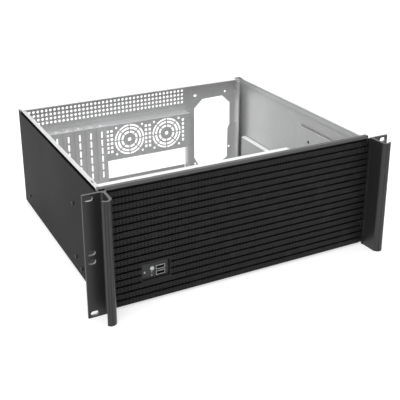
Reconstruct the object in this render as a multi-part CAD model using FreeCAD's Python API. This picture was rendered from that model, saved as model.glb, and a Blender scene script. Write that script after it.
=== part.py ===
import FreeCAD, Part
import math
import os

# Empty four-unit rackmount server case, open on top. Millimetres.
# Case coordinates: x = 0 on the middle plane, y = 0 on the front face of the rack ears with +y to the rear,
# z = 0 at the lower end of the ears. save() moves every node so that y = 0 is the middle of the whole depth.

# Sheet metal
SHEET = 1.2
BEND = 1.5
TIGHT_BEND = 0.85
CLEARANCE = 0.12
WELD_GAP = 0.1

# Standard parts that the case takes
SLOT_COUNT = 7
SLOT_PITCH = 20.32
IO_W = 158.75
IO_H = 44.45
PSU_W = 86.0
PSU_H = 150.0
REAR_FAN = 60.0
BIG_FAN = 120.0
BIG_FAN_COUNT = 3
BOARD_HOLES_X = (0.0, 157.48, 281.94)
BOARD_HOLES_Y = (0.0, 154.94, 227.33)

# Gaps across the inside, from the left wall to the right one
SLOT_EDGE_GAP = 14.58
SLOT_TO_IO = 9.925
IO_TO_RETURN = 6.125
RETURN_TO_PSU = 14.9
PSU_TO_WALL = 15.4
SLOTS_W = SLOT_PITCH * (SLOT_COUNT - 1)
INNER_W = SLOT_EDGE_GAP + SLOTS_W + SLOT_TO_IO + IO_W + IO_TO_RETURN + RETURN_TO_PSU + PSU_W + PSU_TO_WALL
INNER_X = INNER_W / 2
HALF_W = INNER_X + SHEET
SLOT_FIRST_X = -INNER_X + SLOT_EDGE_GAP + SLOTS_W
IO_LEFT_X = SLOT_FIRST_X + SLOT_TO_IO
IO_X = IO_LEFT_X + IO_W / 2
RECESS_RIGHT_X = IO_LEFT_X + IO_W + IO_TO_RETURN
PSU_X = RECESS_RIGHT_X + RETURN_TO_PSU

# Ears and handles: one extrusion on each side
EAR_H = 177.0
EAR_T = 3.5
EAR_REACH = 26.3
EAR_HALF_W = HALF_W + EAR_REACH
EAR_SEAT_D = 0.4
EAR_SEAT_X = HALF_W + 1.4
EAR_FOOT_X = HALF_W - 6.2
HANDLE_T = 3.6
HANDLE_BEND = 5.0
HANDLE_ROOT_X = HALF_W - 3.3
HANDLE_REACH = 33.25
HANDLE_LINE = (
    (HANDLE_ROOT_X, EAR_T / 2),
    (HANDLE_ROOT_X + 0.8, 9.0 - HANDLE_REACH),
    (HANDLE_ROOT_X + 7.6, -HANDLE_REACH),
    (HANDLE_ROOT_X + 11.8, 7.8 - HANDLE_REACH),
)
HANDLE_EDGE_R = 1.0
HANDLE_FILLET_R = 4.0
FLUTES = 3
FLUTE_R = 0.7
FLUTE_STEP = math.radians(30.0)
RACK_EDGE = 8.75
RACK_HOLE_X = EAR_HALF_W - RACK_EDGE
RACK_END = 5.95
RACK_MIDDLE = 6.35
RACK_HOLES_Z = (RACK_END, EAR_H / 2 - RACK_MIDDLE, EAR_H / 2 + RACK_MIDDLE, EAR_H - RACK_END)
RACK_SLOT_L = 11.0
RACK_SLOT_W = 6.8
HANDLE_SCREW_END = 22.0
HANDLE_SCREWS_Z = (HANDLE_SCREW_END, EAR_H / 2, EAR_H - HANDLE_SCREW_END)
HANDLE_SCREW_X = HALF_W - 4.0
HANDLE_SCREW_R = 1.2
HANDLE_SCREW_L = 3.6
HANDLE_HOLE_L = 4.0
HANDLE_HEAD_R = 1.8
HANDLE_HEAD_H = 1.3

# Body
BASE_Z = 2.0
FLOOR_Z = BASE_Z + SHEET
TOP_DROP = 5.5
TOP_Z = EAR_H - TOP_DROP
DEPTH = 400.0
FLANGE_W = 8.5
FLANGE_DROP = 8.0
FLANGE_STEP = 1.1
FLANGE_STEP_EDGE = 3.4
FLANGE_FRONT_Y = 22.5
HEM_W = 1.8
HEM_H = 9.5
FRONT_LIP_W = 6.2
LID_SLOT_Y = 50.8
LID_SLOT_L = 9.0
LID_SLOT_W = 2.2
LID_SLOT_EDGE = 4.5
WALL_FRONT_Y = EAR_T - EAR_SEAT_D + WELD_GAP

# Rear panel
REAR_FLANGE = 14.5
CORNER_FLANGE = 21.0
CORNER_GAP = 11.6
CORNER_LAP = 6.0
PANEL_RIGHT_X = INNER_X - CORNER_GAP
WELD_FLANGE = 7.5
PSU_LIFT = 0.3
PSU_Z = FLOOR_Z + PSU_LIFT
PSU_HOLE_R = 2.1
PSU_SLOT_L = 7.0
PSU_EDGE = 6.0
PSU_TOP_HOLE = 16.0
PSU_SIDE_HOLE = 30.0
PSU_HOLES = (
    (PSU_X + PSU_EDGE, PSU_Z + PSU_EDGE),
    (PSU_X + PSU_W - PSU_TOP_HOLE, PSU_Z + PSU_H - PSU_EDGE),
    (PSU_X + PSU_W - PSU_EDGE, PSU_Z + PSU_SIDE_HOLE),
)
PSU_SLOT_HOLE = (PSU_X + PSU_EDGE, PSU_Z + PSU_H - PSU_EDGE)
PSU_OUTLINE = (
    (4.1, 18.8), (4.1, PSU_H - 31.3), (21.6, PSU_H - 14.9), (PSU_W - 22.2, PSU_H - 13.7),
    (PSU_W - 5.2, PSU_H - 29.9), (PSU_W - 5.0, 76.7), (PSU_W - 9.2, 67.9), (PSU_W - 9.6, 8.9),
    (PSU_W - 21.4, 2.1), (14.0, 2.1),
)

# Recessed plane that carries the board openings
RECESS_D = 21.0
RECESS_Y = DEPTH - RECESS_D
WEB_Y = RECESS_Y - SHEET
UPSTAND_H = 9.3
UPSTAND_GAP = 2.0
IO_LIFT = 8.8
IO_Z = FLOOR_Z + IO_LIFT
IO_TOP_Z = IO_Z + IO_H
FAN_LOW_GAP = 5.05
FAN_HIGH_GAP = 1.0
FAN_Z = IO_TOP_Z + FAN_LOW_GAP + REAR_FAN / 2
LEDGE_Z = FAN_Z + REAR_FAN / 2 + FAN_HIGH_GAP
FAN_PITCH = 73.5
FAN_CENTRES_X = (IO_X - FAN_PITCH / 2, IO_X + FAN_PITCH / 2)
FAN_HOLE_PITCH = 50.0
FAN_HOLE_R = 2.2
FAN_HUB_HOLE_R = 3.5
FAN_RINGS = ((12.0, 15.9), (19.1, 23.0), (25.4, 28.5))
FAN_SPOKES = 8
FAN_SPOKE_W = 1.8
GRID_STEP = 7.5
GRID_LEFT_GAP = 3.95
GRID_RIGHT_GAP = 3.65
GRID_MIDDLE = -0.65
FANS_HALF_W = (FAN_PITCH + REAR_FAN) / 2
GRID_LEFT_COUNT = int((IO_W / 2 - FANS_HALF_W) / GRID_STEP) + 1
GRID_LEFT = tuple(-FANS_HALF_W - GRID_LEFT_GAP - GRID_STEP * column for column in range(GRID_LEFT_COUNT))
GRID_RIGHT = FANS_HALF_W + GRID_RIGHT_GAP
GRID_COLUMNS = GRID_LEFT + (GRID_MIDDLE - GRID_STEP / 2, GRID_MIDDLE + GRID_STEP / 2, GRID_RIGHT)
GRID_ROWS = 6
GRID_PITCH = 7.8
GRID_DROP = 10.5
GRID_SQUARE = 4.7
SIDE_FLANGE = 15.0
INSERT_FOOT = 8.0

# Round vent holes above the recess
VENT_R = 2.3
VENT_PITCH = 7.4
VENT_EDGE = 6.5
VENT_LEFT_GAP = 13.0
VENT_DROP = 10.5
VENT_LOW_GAP = 13.0
VENT_FIRST_X = RECESS_RIGHT_X - VENT_EDGE
VENT_COLUMNS = int((VENT_FIRST_X + INNER_X - VENT_LEFT_GAP) / VENT_PITCH) + 1
VENT_TOP_Z = TOP_Z - VENT_DROP
VENT_ROWS = int((VENT_TOP_Z - LEDGE_Z - VENT_LOW_GAP) / VENT_PITCH) + 1

# Expansion slots and their covers
SLOT_OPEN_W = 14.4
SLOT_OPEN_Z = (FLOOR_Z + 13.8, LEDGE_Z - 5.5)
COVER_W = 18.4
COVER_T = 0.9
COVER_GAP = 0.05
COVER_TAB = 12.0
COVER_TONGUE_W = 10.2
COVER_TONGUE_GAP = 2.0
COVER_SHOULDER_Z = FLOOR_Z + 9.8
COVER_TAPER = 4.0
COVER_SLITS = 6
COVER_SLIT_PITCH = 15.2
COVER_SLIT_DROP = 13.5
COVER_SLIT_L = 12.0
COVER_SLIT_W = 3.0
COVER_SCREW_Y = RECESS_Y + 5.6

# Standoffs for the board
BOARD_REAR_GAP = 12.3
BOARD_SIDE_GAP = 3.675
STANDOFF_H = 9.5
STANDOFF_FLAT = 5.5
STANDOFF_BORE_R = 1.25
STANDOFF_BORE_L = 7.0
STANDOFF_X = IO_LEFT_X + IO_W - BOARD_SIDE_GAP
STANDOFF_Y = WEB_Y - BOARD_REAR_GAP

# Fan wall across the middle
WALL_GAP = 5.17
WALL_FLANGE = 16.0
WALL_Y = STANDOFF_Y - BOARD_HOLES_Y[2] - WALL_GAP - WALL_FLANGE
WALL_FAN_GAP = 1.6
WALL_HEAD = 4.8
WALL_TOP_Z = FLOOR_Z + BIG_FAN + WALL_HEAD
WALL_FAN_Z = (FLOOR_Z + WALL_TOP_Z) / 2
WALL_RIGHT_X = -INNER_X + (BIG_FAN + WALL_FAN_GAP) * BIG_FAN_COUNT
WALL_RING = 3.0
WALL_FAN_R = BIG_FAN / 2 - WALL_RING
WALL_FAN_PITCH = 105.0
WALL_FAN_HOLE_R = 2.2
WALL_SCREWS = ((WALL_Y + 9.0, WALL_TOP_Z - 18.5), (WALL_Y + 9.0, FLOOR_Z + 21.1))

# Front bezel with horizontal ribs
BEZEL_EDGE = 6.5
BEZEL_HALF_W = HALF_W - BEZEL_EDGE
BEZEL_END = 0.5
BEZEL_FRONT_Y = 3.0
BEZEL_D = 9.0
BEZEL_BACK_Y = BEZEL_FRONT_Y + BEZEL_D
BEZEL_SKIN = 2.4
BEZEL_WALL = 2.0
BEZEL_LOW_RIM = 0.5
RIB_PITCH = 10.09
RIB_COUNT = int((EAR_H - BEZEL_END * 2 - BEZEL_LOW_RIM) / RIB_PITCH)
GROOVE_W = 3.2
GROOVE_D = 4.0

# Front bulkhead
BULKHEAD_Y = BEZEL_BACK_Y + 0.2
BULKHEAD_TOP_Z = EAR_H - 1.0
BULKHEAD_FLANGE = 8.3
BULKHEAD_LIP = 9.0
BULKHEAD_FOOT = 10.0
BULKHEAD_GAP = 1.1
BULKHEAD_TAB = 12.0
BULKHEAD_TAB_LIFT = 8.8
WINDOW_W = 24.0
WINDOW_PITCH = 31.0
WINDOW_LOW = 10.8
WINDOW_HIGH = 14.0
WINDOW_GAP = 8.0
WINDOW_CORNER_R = 3.0

# Control recess: button, reset, two lamps, two sockets; x and z from the recess's lower left corner
RECESS_W = 40.5
RECESS_H = 25.0
RECESS_LEFT = 46.5
RECESS_LOW = 32.0
RECESS_X = -BEZEL_HALF_W + RECESS_LEFT
RECESS_Z = BEZEL_END + RECESS_LOW
RECESS_WALL = 1.6
PLATE_Y = BEZEL_FRONT_Y + 3.5
PLATE_T = 1.2
PLATE_GAP = 0.3
PLATE_BACK_Y = PLATE_Y + PLATE_T
BOARD_SPACE = 11.3
BOARD_Y = PLATE_BACK_Y + BOARD_SPACE
BOARD_T = 1.6
BOARD_MARGIN = 2.0
POWER_XZ = (RECESS_X + 15.1, RECESS_Z + 15.7)
POWER_R = 3.0
POWER_PROUD = 2.0
POWER_TRAVEL = 1.5
RESET_XZ = (RECESS_X + 4.4, RECESS_Z + 10.9)
RESET_R = 1.3
RESET_PROUD = 0.6
RESET_TRAVEL = 1.0
LAMPS_XZ = ((RECESS_X + 14.9, RECESS_Z + 9.8), (RECESS_X + 14.9, RECESS_Z + 4.9))
LAMP_R = 1.1
LAMP_PROUD = 0.7
LAMP_GAP = 0.02
USB_X = RECESS_X + 27.6
USB_W = 13.2
USB_H = 5.8
USB_SHELL = 0.4
USB_PROUD = 1.1
USB_TONGUE = 1.8
USB_CENTRES_Z = (RECESS_Z + 15.5, RECESS_Z + 7.1)
BUTTON_GAP = 0.15
COLLAR_W = 0.7
COLLAR_T = 0.8
COLLAR_GAP = 0.05
SWITCH_H = 3.4
SWITCH_GAP = 0.3
SWITCH_HALF_W = 2.2
HEADER_EDGE = 11.0
HEADER_W = 20.0
HEADER_H = 5.0
HEADER_D = 6.0
POST_R = 2.2
POST_EDGE = 2.9
POST_LOW = 3.1
BOARD_SCREW_R = 0.9
BOARD_SCREW_L = 5.0
BOARD_HEAD_R = 1.9
BOARD_HEAD_H = 1.2

# Fittings
SPARE_SCREW = (WALL_Y - 16.0, FLOOR_Z + 12.8)
INSERT_SCREW = (RECESS_Y - 10.0, FLOOR_Z + 19.3)
SIDE_SCREWS = (INSERT_SCREW, SPARE_SCREW)
SCREW_R = 1.5
SCREW_L = 5.0
HEAD_R = 3.1
HEAD_H = 1.5
RIVET_LIFT = 81.2
RIVET_DROP = 16.9
RIVETS_Z = (FLOOR_Z + RIVET_LIFT, TOP_Z - RIVET_DROP)
RIVET_Y = DEPTH - 11.5
RIVET_R = 1.6
RIVET_HEAD_R = 3.0
RIVET_HEAD_H = 1.1
RIVET_TAIL_W = 0.8
RIVET_TAIL_H = 1.4
SUPPORT_X = INNER_X - 9.8
SUPPORT_L = 101.0
SUPPORT_REAR_GAP = 31.0
SUPPORT_Y = (DEPTH - SUPPORT_REAR_GAP - SUPPORT_L, DEPTH - SUPPORT_REAR_GAP)
SUPPORT_H = 57.8
SUPPORT_GAP = 1.2
SUPPORT_SCREW_INSET = 22.0
SUPPORT_SCREWS_Y = (SUPPORT_Y[0] + SUPPORT_SCREW_INSET, SUPPORT_Y[1] - SUPPORT_SCREW_INSET)
SUPPORT_SCREW_X = (SUPPORT_X + SHEET + INNER_X) / 2
GUARD_Y = (92.0, 186.0)
GUARD_LIFT = 58.8
GUARD_H = 78.4
GUARD_Z = (FLOOR_Z + GUARD_LIFT, FLOOR_Z + GUARD_LIFT + GUARD_H)
GUARD_FOOT = 10.0
GUARD_STAND = 4.0
GUARD_HOLE_INSET = 29.6
GUARD_HOLE_DROP = 21.8
GUARD_HOLE = (GUARD_Y[1] - GUARD_HOLE_INSET, GUARD_Z[1] - GUARD_HOLE_DROP)
GUARD_HOLE_R = 3.0

# Screw heads, as shares of the head's radius and height
HEAD_ROUND = 0.6
CROSS_REACH = 0.55
CROSS_HALF_W = 0.17
CROSS_D = 0.55

# How far a cutting tool runs past the metal, and the cosine above which an edge lies along an axis
CUT = 1.0
ALONG = 0.9


def vec(x, y, z):
    return FreeCAD.Vector(x, y, z)


def box(x0, x1, y0, y1, z0, z1):
    return Part.makeBox(x1 - x0, y1 - y0, z1 - z0, vec(x0, y0, z0))


def rod(start, direction, radius, length):
    return Part.makeCylinder(radius, length, vec(*start), vec(*direction))


def fused(shapes):
    result = shapes[0]
    for shape in shapes[1:]:
        result = result.fuse(shape)
    return result.removeSplitter()


def polygon(points):
    return Part.makePolygon([vec(*p) for p in points] + [vec(*points[0])])


def xz_rect(x0, x1, z0, z1):
    return polygon([(x0, 0, z0), (x1, 0, z0), (x1, 0, z1), (x0, 0, z1)])


def xz_circle(x, z, radius):
    return Part.Wire([Part.makeCircle(radius, vec(x, 0, z), vec(0, 1, 0))])


def xz_slot(x, z, length, width, upright=False):
    # A slot with round ends, given by its end-to-end length, along x or upright along z.
    reach = (length - width) / 2
    radius = width / 2

    def at(along, across):
        return vec(x - across, 0, z + along) if upright else vec(x + along, 0, z + across)
    edges = [
        Part.Arc(at(reach, -radius), at(reach + radius, 0), at(reach, radius)),
        Part.LineSegment(at(reach, radius), at(-reach, radius)),
        Part.Arc(at(-reach, radius), at(-reach - radius, 0), at(-reach, -radius)),
        Part.LineSegment(at(-reach, -radius), at(reach, -radius)),
    ]
    return Part.Wire([e.toShape() for e in edges])


def xz_sector(x, z, inner, outer, start, end):
    # An arc-shaped slot between two radii and two angles.
    def at(radius, angle):
        return vec(x + radius * math.cos(angle), 0, z + radius * math.sin(angle))
    middle = (start + end) / 2
    edges = [
        Part.Arc(at(outer, start), at(outer, middle), at(outer, end)),
        Part.LineSegment(at(outer, end), at(inner, end)),
        Part.Arc(at(inner, end), at(inner, middle), at(inner, start)),
        Part.LineSegment(at(inner, start), at(outer, start)),
    ]
    return Part.Wire([e.toShape() for e in edges])


def plate_y(outline, openings, y0, thickness):
    # A plate in the xz plane with its openings, from y0 towards the rear.
    face = Part.makeFace(Part.makeCompound([outline] + openings), "Part::FaceMakerBullseye")
    plate = face.extrude(vec(0, thickness, 0))
    plate.translate(vec(0, y0, 0))
    return plate


def unit(p, q):
    length = math.hypot(q[0] - p[0], q[1] - p[1])
    return ((q[0] - p[0]) / length, (q[1] - p[1]) / length)


def side_line(points, thickness, bend, side):
    # One face line of a folded strip: rounded corners at the given middle radius.
    half = side * thickness / 2
    dirs = [unit(p, q) for p, q in zip(points, points[1:])]
    normals = [(-d[1], d[0]) for d in dirs]
    path = [("point", (points[0][0] + half * normals[0][0], points[0][1] + half * normals[0][1]))]
    for p, d0, d1, n0, n1 in zip(points[1:], dirs, dirs[1:], normals, normals[1:]):
        cross = d0[0] * d1[1] - d0[1] * d1[0]
        dot = d0[0] * d1[0] + d0[1] * d1[1]
        reach = bend * math.tan(math.acos(max(-1.0, min(1.0, dot))) / 2)
        turn = 1 if cross > 0 else -1
        enter = (p[0] - d0[0] * reach, p[1] - d0[1] * reach)
        leave = (p[0] + d1[0] * reach, p[1] + d1[1] * reach)
        centre = (enter[0] + turn * bend * n0[0], enter[1] + turn * bend * n0[1])
        radius = bend - turn * half
        out = unit(centre, p)
        path.append(("point", (enter[0] + half * n0[0], enter[1] + half * n0[1])))
        path.append(("through", (centre[0] + radius * out[0], centre[1] + radius * out[1])))
        path.append(("point", (leave[0] + half * n1[0], leave[1] + half * n1[1])))
    last = points[-1]
    path.append(("point", (last[0] + half * normals[-1][0], last[1] + half * normals[-1][1])))
    return path


def folded_face(points, thickness, bend, place):
    # The section of a folded strip along its middle line; place() turns a flat pair into a vector.
    there = side_line(points, thickness, bend, 1)
    back = side_line(points, thickness, bend, -1)[::-1]
    path = there + back + there[:1]
    edges = []
    step = 0
    while step < len(path) - 1:
        here = place(*path[step][1])
        if path[step + 1][0] == "through":
            edges.append(Part.Arc(here, place(*path[step + 1][1]), place(*path[step + 2][1])).toShape())
            step += 2
        else:
            edges.append(Part.LineSegment(here, place(*path[step + 1][1])).toShape())
            step += 1
    return Part.Face(Part.Wire(Part.__sortEdges__(edges)))


def folded_along_y(points, y0, y1, thickness=SHEET, bend=BEND):
    face = folded_face(points, thickness, bend, lambda x, z: vec(x, y0, z))
    return face.extrude(vec(0, y1 - y0, 0))


def folded_along_x(points, x0, x1, thickness=SHEET, bend=BEND):
    face = folded_face(points, thickness, bend, lambda y, z: vec(x0, y, z))
    return face.extrude(vec(x1 - x0, 0, 0))


def folded_along_z(points, z0, z1, thickness=SHEET, bend=BEND):
    face = folded_face(points, thickness, bend, lambda x, y: vec(x, y, z0))
    return face.extrude(vec(0, 0, z1 - z0))


def mirrored(shape):
    return shape.mirror(vec(0, 0, 0), vec(1, 0, 0))


def screw(seat, inward, shank_r, shank_l, head_r, head_h):
    # A pan head screw: seat is the middle of the head's underside, inward points along the shank.
    start = vec(*seat)
    axis = vec(*inward)
    head = Part.makeCylinder(head_r, head_h, start, axis * -1)
    crown = head.Edges
    rims = [e for e in crown if e.Closed and (e.CenterOfMass - start).Length > head_h / 2]
    head = head.makeFillet(head_h * HEAD_ROUND, rims)
    shank = Part.makeCylinder(shank_r, shank_l, start, axis)
    body = head.fuse(shank).removeSplitter()
    side = vec(0, 0, 1) if abs(axis.z) < ALONG else vec(1, 0, 0)
    other = axis.cross(side)
    arm = head_r * CROSS_REACH
    width = head_r * CROSS_HALF_W
    depth = head_h * CROSS_D
    for long_dir, short_dir in ((side, other), (other, side)):
        corner = start - axis * head_h - long_dir * arm - short_dir * width
        bar = Part.Face(Part.makePolygon([
            corner,
            corner + long_dir * arm * 2,
            corner + long_dir * arm * 2 + short_dir * width * 2,
            corner + short_dir * width * 2,
            corner,
        ]))
        body = body.cut(bar.extrude(axis * depth))
    return body


def screws(seats, inward, shank_r=SCREW_R, shank_l=SCREW_L, head_r=HEAD_R, head_h=HEAD_H):
    return Part.makeCompound([screw(s, inward, shank_r, shank_l, head_r, head_h) for s in seats])


def save(name, shape):
    moved = shape.copy()
    moved.translate(vec(0, SHIFT_Y, 0))
    moved.exportStep("parts/" + name + ".step")


def chassis_tray():
    mid = SHEET / 2
    side_x = HALF_W - mid
    low = BASE_Z + mid
    trough = folded_along_y(
        [(-side_x, TOP_Z), (-side_x, low), (side_x, low), (side_x, TOP_Z)], BULKHEAD_Y, DEPTH)
    step_x = HALF_W - FLANGE_STEP_EDGE
    flange_line = [
        (-side_x, TOP_Z - FLANGE_DROP),
        (-side_x, TOP_Z - mid),
        (-step_x - FLANGE_STEP / 2, TOP_Z - mid),
        (-step_x + FLANGE_STEP / 2, TOP_Z - mid - FLANGE_STEP),
        (FLANGE_W - HALF_W, TOP_Z - mid - FLANGE_STEP),
    ]
    hem_line = [
        (side_x, TOP_Z - FLANGE_DROP),
        (side_x, TOP_Z - mid),
        (side_x - HEM_W, TOP_Z - mid),
        (side_x - HEM_W, TOP_Z - HEM_H),
    ]
    flange_end = DEPTH - REAR_FLANGE - CUT
    flange = folded_along_y(flange_line, FLANGE_FRONT_Y, flange_end, bend=TIGHT_BEND)
    hem = folded_along_y(hem_line, FLANGE_FRONT_Y, flange_end, bend=TIGHT_BEND)
    corner_cut = box(
        INNER_X - CUT, HALF_W + CUT, FLANGE_FRONT_Y, flange_end, TOP_Z - FLANGE_DROP, TOP_Z + CUT)
    trough = trough.cut(corner_cut).cut(mirrored(corner_cut))
    slot_x = LID_SLOT_EDGE - HALF_W
    lid_slot = box(
        slot_x, slot_x + LID_SLOT_W, LID_SLOT_Y - LID_SLOT_L / 2, LID_SLOT_Y + LID_SLOT_L / 2,
        TOP_Z - SHEET - FLANGE_STEP - CUT, TOP_Z + CUT)
    flange = flange.cut(lid_slot)
    lip_x = HALF_W - FRONT_LIP_W
    front_y = WALL_FRONT_Y + mid
    front_lip = folded_along_z([(lip_x, front_y), (side_x, front_y), (side_x, BULKHEAD_Y)], BASE_Z, TOP_Z)
    pieces = [trough, flange, hem, front_lip, mirrored(front_lip)]
    upstand = box(
        -INNER_X, RECESS_RIGHT_X - UPSTAND_GAP, DEPTH - SHEET, DEPTH, FLOOR_Z - mid, FLOOR_Z + UPSTAND_H)
    pieces.append(upstand)
    rear_y = DEPTH - mid
    return_x = PANEL_RIGHT_X + WELD_GAP + mid
    lap_y = DEPTH - CORNER_LAP
    corner = folded_along_z(
        [(return_x, DEPTH - CORNER_FLANGE), (return_x, rear_y), (side_x, rear_y), (side_x, lap_y)],
        FLOOR_Z, TOP_Z)
    tail = box(INNER_X - CUT, HALF_W + CUT, lap_y, DEPTH + CUT, FLOOR_Z, TOP_Z + CUT)
    pieces[0] = pieces[0].cut(tail)
    pieces.append(corner)
    tray = fused(pieces)
    hole_r = SCREW_R + CLEARANCE
    for y, z in WALL_SCREWS + SIDE_SCREWS:
        tray = tray.cut(rod((-HALF_W - CUT, y, z), (1, 0, 0), hole_r, SHEET + CUT * 2))
    for z in RIVETS_Z:
        tray = tray.cut(rod((PANEL_RIGHT_X, RIVET_Y, z), (1, 0, 0), RIVET_R + CLEARANCE, SHEET + CUT))
    for y in SUPPORT_SCREWS_Y:
        tray = tray.cut(rod((SUPPORT_SCREW_X, y, BASE_Z - CUT), (0, 0, 1), hole_r, SHEET + CUT * 2))
    for z in HANDLE_SCREWS_Z:
        for side in (-1, 1):
            start = (side * HANDLE_SCREW_X, WALL_FRONT_Y - CUT, z)
            tray = tray.cut(rod(start, (0, 1, 0), HANDLE_SCREW_R + CLEARANCE, SHEET + CUT * 2))
    return tray


def rear_panel():
    mid = SHEET / 2
    rear_y = DEPTH - SHEET
    top = TOP_Z - SHEET - BEND
    outline = polygon([
        (-INNER_X + BEND, 0, LEDGE_Z), (RECESS_RIGHT_X, 0, LEDGE_Z), (RECESS_RIGHT_X, 0, FLOOR_Z),
        (PANEL_RIGHT_X - SHEET - BEND, 0, FLOOR_Z), (PANEL_RIGHT_X - SHEET - BEND, 0, top),
        (-INNER_X + BEND, 0, top)])
    holes = []
    for row in range(VENT_ROWS):
        for column in range(VENT_COLUMNS):
            holes.append(xz_circle(VENT_FIRST_X - VENT_PITCH * column, VENT_TOP_Z - VENT_PITCH * row, VENT_R))
    holes.append(polygon([(PSU_X + x, 0, PSU_Z + z) for x, z in PSU_OUTLINE]))
    for x, z in PSU_HOLES:
        holes.append(xz_circle(x, z, PSU_HOLE_R))
    holes.append(xz_slot(PSU_SLOT_HOLE[0], PSU_SLOT_HOLE[1], PSU_SLOT_L, PSU_HOLE_R * 2))
    plate = plate_y(outline, holes, rear_y, SHEET)
    mid_y = DEPTH - mid
    top_edge = folded_along_x(
        [(DEPTH - REAR_FLANGE, TOP_Z - mid), (mid_y, TOP_Z - mid), (mid_y, top)],
        -INNER_X + BEND, PANEL_RIGHT_X - SHEET - BEND, bend=BEND)
    right_x = PANEL_RIGHT_X - mid
    right_edge = folded_along_z(
        [(PANEL_RIGHT_X - SHEET - BEND, mid_y), (right_x, mid_y), (right_x, DEPTH - CORNER_FLANGE)],
        FLOOR_Z, top)
    left_x = -INNER_X + mid
    left_edge = folded_along_z(
        [(-INNER_X + BEND, mid_y), (left_x, mid_y), (left_x, RECESS_Y + SHEET)],
        LEDGE_Z, top, bend=TIGHT_BEND)
    panel = fused([plate, top_edge, right_edge, left_edge])
    for z in RIVETS_Z:
        start = (PANEL_RIGHT_X - SHEET - CUT, RIVET_Y, z)
        panel = panel.cut(rod(start, (1, 0, 0), RIVET_R + CLEARANCE, SHEET + CUT * 2))
    return panel


def fan_openings(x, z):
    holes = [xz_circle(x, z, FAN_HUB_HOLE_R)]
    for inner, outer in FAN_RINGS:
        for gap in range(FAN_SPOKES):
            middle = math.pi * (gap * 2 + 1) / FAN_SPOKES
            span = math.pi / FAN_SPOKES - FAN_SPOKE_W / 2 / inner
            holes.append(xz_sector(x, z, inner, outer, middle - span, middle + span))
    offset = FAN_HOLE_PITCH / 2
    for sx in (-1, 1):
        for sz in (-1, 1):
            holes.append(xz_circle(x + sx * offset, z + sz * offset, FAN_HOLE_R))
    return holes


def rear_insert():
    mid = SHEET / 2
    left = -INNER_X + SHEET
    outline = xz_rect(left, RECESS_RIGHT_X - SHEET, FLOOR_Z, LEDGE_Z - SHEET)
    holes = [xz_rect(IO_LEFT_X, IO_LEFT_X + IO_W, IO_Z, IO_TOP_Z)]
    for x in FAN_CENTRES_X:
        holes.extend(fan_openings(x, FAN_Z))
    half = GRID_SQUARE / 2
    for column in GRID_COLUMNS:
        for row in range(GRID_ROWS):
            x = IO_X + column
            z = LEDGE_Z - GRID_DROP - GRID_PITCH * row
            holes.append(xz_rect(x - half, x + half, z - half, z + half))
    for slot in range(SLOT_COUNT):
        x = SLOT_FIRST_X - SLOT_PITCH * slot
        holes.append(xz_rect(x - SLOT_OPEN_W / 2, x + SLOT_OPEN_W / 2, SLOT_OPEN_Z[0], SLOT_OPEN_Z[1]))
    web = plate_y(outline, holes, WEB_Y, SHEET)
    weld_y = DEPTH - SHEET - mid
    ledge_z = LEDGE_Z - mid
    ledge = folded_along_x(
        [(WEB_Y, ledge_z), (weld_y, ledge_z), (weld_y, LEDGE_Z + WELD_FLANGE)],
        left + CUT, RECESS_RIGHT_X, bend=TIGHT_BEND)
    return_x = RECESS_RIGHT_X - mid
    cheek = folded_along_z(
        [(return_x, WEB_Y), (return_x, weld_y), (RECESS_RIGHT_X + WELD_FLANGE, weld_y)],
        FLOOR_Z, LEDGE_Z, bend=TIGHT_BEND)
    side = box(-INNER_X, left, WEB_Y - SIDE_FLANGE, RECESS_Y, FLOOR_Z + BEND, LEDGE_Z)
    foot = box(left, RECESS_RIGHT_X, WEB_Y - INSERT_FOOT, WEB_Y + SHEET, FLOOR_Z, FLOOR_Z + SHEET)
    insert = fused([web, ledge, cheek, foot, side])
    y, z = INSERT_SCREW
    insert = insert.cut(rod((-HALF_W, y, z), (1, 0, 0), SCREW_R + CLEARANCE, SHEET * 2 + CUT))
    for slot in range(SLOT_COUNT):
        x = SLOT_FIRST_X - SLOT_PITCH * slot
        start = (x, COVER_SCREW_Y, LEDGE_Z - SHEET - CUT)
        insert = insert.cut(rod(start, (0, 0, 1), SCREW_R + CLEARANCE, SHEET + CUT * 2))
    return insert


def slot_cover(x):
    inner_y = WEB_Y - COVER_T - COVER_GAP
    half = COVER_W / 2
    tongue = COVER_TONGUE_W / 2
    low = FLOOR_Z + COVER_TONGUE_GAP
    shoulder = COVER_SHOULDER_Z + COVER_TAPER
    top = LEDGE_Z + COVER_T + COVER_GAP
    outline = polygon([
        (x - tongue, 0, low), (x + tongue, 0, low), (x + tongue, 0, COVER_SHOULDER_Z),
        (x + half, 0, shoulder), (x + half, 0, top), (x - half, 0, top), (x - half, 0, shoulder),
        (x - tongue, 0, COVER_SHOULDER_Z)])
    high = LEDGE_Z - COVER_SLIT_DROP
    middles = [high - COVER_SLIT_PITCH * k for k in range(COVER_SLITS)]
    slits = [xz_slot(x, z, COVER_SLIT_L, COVER_SLIT_W, upright=True) for z in middles]
    blade = plate_y(outline, slits, inner_y, COVER_T)
    tab = box(x - half, x + half, inner_y, inner_y + COVER_TAB, top - COVER_T, top)
    cover = blade.fuse(tab).removeSplitter()
    start = (x, COVER_SCREW_Y, LEDGE_Z - CUT)
    return cover.cut(rod(start, (0, 0, 1), SCREW_R + CLEARANCE, COVER_T + CUT * 2))


def slot_cover_screws():
    z = LEDGE_Z + COVER_T + COVER_GAP * 2
    seats = [(SLOT_FIRST_X - SLOT_PITCH * slot, COVER_SCREW_Y, z) for slot in range(SLOT_COUNT)]
    return screws(seats, (0, 0, -1))


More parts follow.
